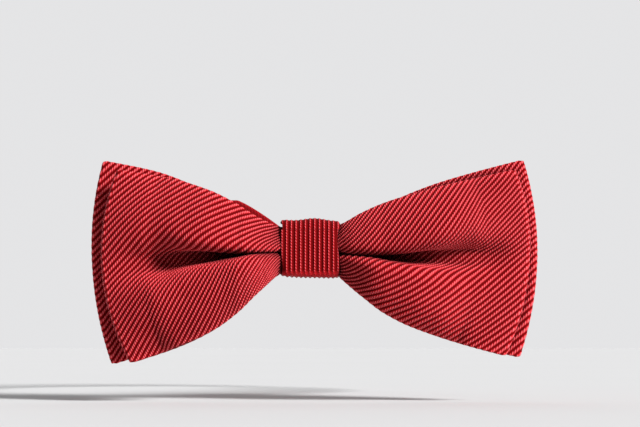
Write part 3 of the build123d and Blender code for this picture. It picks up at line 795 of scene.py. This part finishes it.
class Nodes:
    """Short names for the shader nodes that the materials here are made of."""

    def __init__(self, name):
        self.material = bpy.data.materials.new(name)
        self.material.use_nodes = True
        self.tree = self.material.node_tree
        self.shader = self.tree.nodes["Principled BSDF"]

    def add(self, kind, **settings):
        node = self.tree.nodes.new(kind)
        for key, value in settings.items():
            setattr(node, key, value)
        return node

    def put(self, value, socket):
        """Links a node's output to a socket, or sets the socket to a value."""
        if isinstance(value, bpy.types.NodeSocket):
            self.tree.links.new(value, socket)
        else:
            socket.default_value = value

    def math(self, operation, a, b=0.0, c=0.0):
        node = self.add("ShaderNodeMath", operation=operation)
        for k, value in enumerate((a, b, c)):
            self.put(value, node.inputs[k])
        return node.outputs[0]

    def ramp(self, value, stops):
        """A colour ramp through (place, colour) stops."""
        node = self.add("ShaderNodeValToRGB")
        ramp = node.color_ramp
        while len(ramp.elements) < len(stops):
            ramp.elements.new(0.5)
        for element, (at, colour) in zip(ramp.elements, stops):
            element.position = at
            element.color = (*colour, 1)
        self.put(value, node.inputs[0])
        return node.outputs[0]

    def noise(self, vector, scale, detail=3.0, roughness=0.5):
        node = self.add("ShaderNodeTexNoise")
        self.put(vector, node.inputs["Vector"])
        node.inputs["Scale"].default_value = scale
        node.inputs["Detail"].default_value = detail
        node.inputs["Roughness"].default_value = roughness
        return node.outputs["Fac"]

    def mix(self, factor, colour, other):
        """From a plain colour to another node's colour."""
        node = self.add("ShaderNodeMix", data_type="RGBA", blend_type="MIX")
        self.put(factor, node.inputs[0])
        self.put((*colour, 1), node.inputs[6])
        self.put(other, node.inputs[7])
        return node.outputs[2]

    def wave(self, value, pitch):
        """A wave from -1 to 1, that long along a value."""
        return self.math("COSINE", self.math("MULTIPLY", value, 2 * pi / pitch))

    def stripes(self, value, pitch):
        """The same from 0 to 1."""
        return self.math("MULTIPLY_ADD", self.wave(value, pitch), 0.5, 0.5)

    def set(self, **values):
        """Constants on the shader's own sockets, named with underscores."""
        for name, value in values.items():
            self.shader.inputs[name.replace("_", " ")].default_value = value

    def colour(self, value):
        self.put(value, self.shader.inputs["Base Color"])

    def bump(self, height, distance, strength=1.0):
        """Fine relief, distance metres high."""
        node = self.add("ShaderNodeBump")
        node.inputs["Strength"].default_value = strength
        node.inputs["Distance"].default_value = distance
        self.put(height, node.inputs["Height"])
        self.put(node.outputs[0], self.shader.inputs["Normal"])

    def place(self):
        """Object space, whole and as x, y and z, in metres."""
        where = self.add("ShaderNodeTexCoord").outputs["Object"]
        parts = self.add("ShaderNodeSeparateXYZ")
        self.put(where, parts.inputs[0])
        return where, *parts.outputs

    def cloth_uv(self):
        """The mesh's uv, whole and as its two parts, in millimetres."""
        uv = self.add("ShaderNodeUVMap", uv_map=UV_NAME).outputs[0]
        parts = self.add("ShaderNodeSeparateXYZ")
        self.put(uv, parts.inputs[0])
        return uv, parts.outputs[0], parts.outputs[1]


# The cloth's red between its cords, on their sides and on their tops, and deep in a hollow: the cords' own
# tone, with painted shade between them, a painted pinkish highlight on their tops, and painted shade in the
# hollow
DEEP = (0.13, 0.0002, 0.0005)
MIDDLE = (0.42, 0.007, 0.011)
BRIGHT = (0.80, 0.115, 0.13)
# painted shade: the cloth is darkened towards this near-black red where it is closed in, in creases and
# hollows
HOLLOW_PAINTED_SHADE = (0.02, 0.0, 0.0)
PAINTED_SHADE_REACH, PAINTED_SHADE_POWER, PAINTED_SHADE_RAYS = 0.0038, 1.7, 6
RED_GLOSS = {
    "Specular_IOR_Level": 0.16, "Specular_Tint": (1.0, 0.3, 0.34, 1), "Sheen_Tint": (1.0, 0.35, 0.4, 1),
}
THREAD_PITCH, THREAD_SLANT = 0.8, 1.1
SCATTER = 12.9898, 3.7  # sends each cord's thread to a place of its own
FLAT_EDGE = 900  # how fast the knot's cords come in above their lowest height, per metre
TAPE_RIB_PITCH, TAPE_THREAD_PITCH, TAPE_SELVEDGE = 0.42, 0.3, 1.0
WEAVE_PITCH, TWIST_PITCH = 0.5 * MM, 0.22 * MM


def ribbed_cloth(name, pitch, sharpness, ripe, plain_below=-1.0):
    """Silk-like twill: raised cords wound with fine slanting thread. Its uv is (across, along) the cords.

    ripe is the shade at which a cord reaches its brightest colour, and plain_below the height in metres
    under which the cords are pulled flat.
    """
    n = Nodes(name)
    uv, across, along = n.cloth_uv()
    turns = n.math("DIVIDE", across, pitch)
    cord = n.stripes(turns, 1)
    rib = n.math("ROUND", turns)
    # each cord's thread is set off from its neighbour's, and slants across it
    offset = n.math("MULTIPLY", n.math("SINE", n.math("MULTIPLY", rib, SCATTER[0])), SCATTER[1])
    slant = n.math("MULTIPLY", n.math("SUBTRACT", turns, rib), THREAD_SLANT)
    windings = n.math("ADD", n.math("DIVIDE", n.math("ADD", along, slant), THREAD_PITCH), offset)
    thread = n.stripes(windings, 1)
    patchy = n.noise(uv, 0.16, 3.0, 0.6)
    fibre = n.noise(uv, 4.0, 2.0, 0.6)
    ridge = n.math("POWER", cord, sharpness)
    height = n.math("MULTIPLY", ridge, n.math("MULTIPLY_ADD", thread, 0.6, 0.4))
    shade = n.math("MULTIPLY", ridge, n.math("MULTIPLY_ADD", thread, 0.55, 0.5))
    _, _, _, up = n.place()
    above = n.math("MULTIPLY_ADD", up, FLAT_EDGE, -FLAT_EDGE * plain_below)
    cords_show = n.math("MINIMUM", n.math("MAXIMUM", above, 0.0), 1.0)
    shade = n.math("MULTIPLY_ADD", n.math("SUBTRACT", shade, 0.5), cords_show, 0.5)
    shade = n.math("ADD", shade, n.math("MULTIPLY_ADD", patchy, 0.16, -0.08))
    shade = n.math("ADD", shade, n.math("MULTIPLY_ADD", fibre, 0.3, -0.15))
    # partly painted shade and highlight: the troughs between the cords are darker and the cords' tops lighter
    # and pinker, over the cloth's own tone
    colour = n.ramp(shade, [(0.13 * ripe, DEEP), (0.5 * ripe, MIDDLE), (ripe, BRIGHT)])
    # painted shade: an ambient occlusion test darkens the cloth's colour in its creases and hollows, where
    # shade falls
    painted_shade_test = n.add("ShaderNodeAmbientOcclusion", samples=PAINTED_SHADE_RAYS)
    painted_shade_test.inputs["Distance"].default_value = PAINTED_SHADE_REACH
    light = n.math("POWER", painted_shade_test.outputs["AO"], PAINTED_SHADE_POWER)
    n.colour(n.mix(light, HOLLOW_PAINTED_SHADE, colour))
    n.put(n.math("MULTIPLY_ADD", cord, -0.4, 0.9), n.shader.inputs["Roughness"])
    n.set(Sheen_Weight=0.04, Sheen_Roughness=0.4, **RED_GLOSS)
    n.bump(height, 0.00025)
    return n.material


def tape_cloth(name):
    """Fine close-ribbed tape."""
    n = Nodes(name)
    uv, u, v = n.cloth_uv()
    ribs, threads = n.stripes(u, TAPE_RIB_PITCH), n.stripes(v, TAPE_THREAD_PITCH)
    patchy = n.noise(uv, 0.8, 3.0, 0.6)
    edge = n.math("GREATER_THAN", n.math("ABSOLUTE", v), TAPE_HALF - TAPE_SELVEDGE)
    shade = n.math("ADD", n.math("MULTIPLY", ribs, 0.5), n.math("MULTIPLY", patchy, 0.5))
    shade = n.math("MULTIPLY_ADD", edge, 0.08, shade)
    reds = [(0.05, (0.08, 0.0005, 0.001)), (0.5, (0.24, 0.002, 0.004)), (1.0, (0.42, 0.012, 0.018))]
    n.colour(n.ramp(shade, reds))
    n.set(Roughness=0.7, Sheen_Weight=0.03, **RED_GLOSS)
    n.bump(n.math("MULTIPLY_ADD", threads, 0.35, ribs), 0.00007)
    return n.material


def plain_weave(name, low, high):
    """A plain woven cloth in object space."""
    n = Nodes(name)
    where, x, _, z = n.place()
    warp, weft = n.wave(x, WEAVE_PITCH), n.wave(z, WEAVE_PITCH)
    weave = n.math("MULTIPLY_ADD", n.math("MULTIPLY", warp, weft), 0.5, 0.5)
    spots = n.math("MULTIPLY", n.noise(where, 900, 3.0), 0.5)
    n.colour(n.ramp(n.math("MULTIPLY_ADD", weave, 0.5, spots), [(0.1, low), (0.9, high)]))
    n.set(Roughness=0.85)
    n.bump(weave, 0.00008)
    return n.material


def twisted_thread(name):
    """Sewing thread, its plies twisted."""
    n = Nodes(name)
    _, x, y, z = n.place()
    twist = n.stripes(n.math("ADD", n.math("ADD", x, y), z), TWIST_PITCH)
    n.colour(n.ramp(twist, [(0.0, (0.14, 0.004, 0.008)), (1.0, (0.5, 0.03, 0.045))]))
    n.set(Roughness=0.5)
    n.bump(twist, 0.00005)
    return n.material


def nickel(name):
    """Bright nickel plate with faint handling marks."""
    n = Nodes(name)
    where = n.place()[0]
    cloudy = n.noise(where, 260, 4.0, 0.6)
    fine = n.noise(where, 2600, 2.0, 0.5)
    n.colour(n.ramp(cloudy, [(0.3, (0.60, 0.57, 0.52)), (0.7, (0.74, 0.72, 0.68))]))
    n.set(Metallic=1.0)
    n.put(n.math("MULTIPLY_ADD", cloudy, 0.22, 0.14), n.shader.inputs["Roughness"])
    n.bump(fine, 0.00002, 0.5)
    return n.material


def studio_surface(name):
    """A pale, even floor."""
    n = Nodes(name)
    pale = n.noise(n.place()[0], 6, 2.0)
    n.colour(n.ramp(pale, [(0.0, (0.59, 0.59, 0.59)), (1.0, (0.61, 0.61, 0.61))]))
    n.set(Roughness=0.9)
    return n.material


# --- Floor, light and camera -------------------------------------------------------------------------

FLOOR_HALF, FLOOR_GAP = 6, 0.012  # in metres
FRONT_GREY, BACK_GREY = (0.16, 0.16, 0.17), (0.78, 0.78, 0.79)  # the world, before and behind the tie
GREY_STOPS = (0.12, 0.48)  # of the direction's y
LAMPS = (  # name, direction to it, strength, softness in degrees
    ("key", (0.64, -0.60, 0.47), 6.3, 16),
    ("fill", (-0.1, -0.95, -0.2), 0.5, 40),
)


def build_studio():
    """A pale floor under the tie, an even grey world that is brighter behind it, and two soft lamps."""
    floor_z = cad_box[0].z - FLOOR_GAP
    corners = [(x * FLOOR_HALF, y * FLOOR_HALF, floor_z) for x, y in ((-1, -1), (1, -1), (1, 1), (-1, 1))]
    data = bpy.data.meshes.new("floor")
    data.from_pydata(corners, [], [(0, 1, 2, 3)])
    floor = bpy.data.objects.new("floor", data)
    data.materials.append(studio_surface("floor_paint"))
    bpy.context.scene.collection.objects.link(floor)

    world = bpy.data.worlds.new("studio")
    world.use_nodes = True
    tree = world.node_tree
    where = tree.nodes.new("ShaderNodeTexCoord")
    parts = tree.nodes.new("ShaderNodeSeparateXYZ")
    ramp = tree.nodes.new("ShaderNodeValToRGB")
    tree.links.new(where.outputs["Generated"], parts.inputs[0])
    tree.links.new(parts.outputs[1], ramp.inputs[0])
    tree.links.new(ramp.outputs[0], tree.nodes["Background"].inputs["Color"])
    for element, at, grey in zip(ramp.color_ramp.elements, GREY_STOPS, (FRONT_GREY, BACK_GREY)):
        element.position = at
        element.color = (*grey, 1)
    bpy.context.scene.world = world
    bpy.context.scene.view_settings.view_transform = "Standard"

    for name, towards, strength, softness in LAMPS:
        light = bpy.data.lights.new(name, "SUN")
        light.energy = strength
        light.angle = radians(softness)
        lamp = bpy.data.objects.new(name, light)
        lamp.rotation_mode = "QUATERNION"
        lamp.rotation_quaternion = Vector(towards).to_track_quat("Z", "Y")
        bpy.context.scene.collection.objects.link(lamp)


LENS, SENSOR = 100, 36
SEEN_WIDTH = 172.2  # at the knot's front
AIM_RIGHT, AIM_ABOVE = 2.7, 9.1  # of the knot's centre
VIEW_FROM_BELOW = radians(4.2)


def build_camera():
    """A long lens straight on to the bow, from a little below it."""
    camera = bpy.data.cameras.new("camera")
    camera.lens = LENS
    camera.sensor_width = SENSOR
    distance = SEEN_WIDTH * MM * LENS / SENSOR
    rig = bpy.data.objects.new("camera", camera)
    aim = Vector((AIM_RIGHT, KNOT_LOW[1], KNOT_CENTRE[2] + AIM_ABOVE)) * MM
    rig.location = aim + Vector((0, -cos(VIEW_FROM_BELOW), -sin(VIEW_FROM_BELOW))) * distance
    rig.rotation_mode = "QUATERNION"
    rig.rotation_quaternion = (aim - rig.location).to_track_quat("-Z", "Y")
    camera.clip_start, camera.clip_end = 0.01, 50
    bpy.context.scene.collection.objects.link(rig)
    bpy.context.scene.camera = rig


# --- The model ---------------------------------------------------------------------------------------

build_studio()
build_camera()
bow_cloth = ribbed_cloth("bow_twill", RIB_PITCH, 0.9, 0.86)
# painted shade: the knot's copy of the cloth has sharper cords and reaches its brightest later, so it is
# darker, for the shade on its upright cords
knot_cloth = ribbed_cloth("knot_twill", KNOT_PITCH, 3.0, 1.0, plain_below=(KNOT_LOW[2] + 0.5) * MM)
tape = tape_cloth("tape_cloth")
lining = plain_weave("interlining_weave", (0.55, 0.52, 0.46), (0.8, 0.77, 0.7))
thread = twisted_thread("red_thread")
metal = nickel("nickel_plate")

front_wings(bow_cloth)
back_wings(bow_cloth)
build_knot(knot_cloth)
build_knot_lining(lining)
build_band(tape)
build_tail(tape)
build_stitches(thread)
for node, material in (
    ("gather_thread", thread), ("eye_ring", metal), ("hook", metal), ("slide_adjuster", metal),
):
    frame["nodes"][node].data.materials.clear()
    frame["nodes"][node].data.materials.append(material)
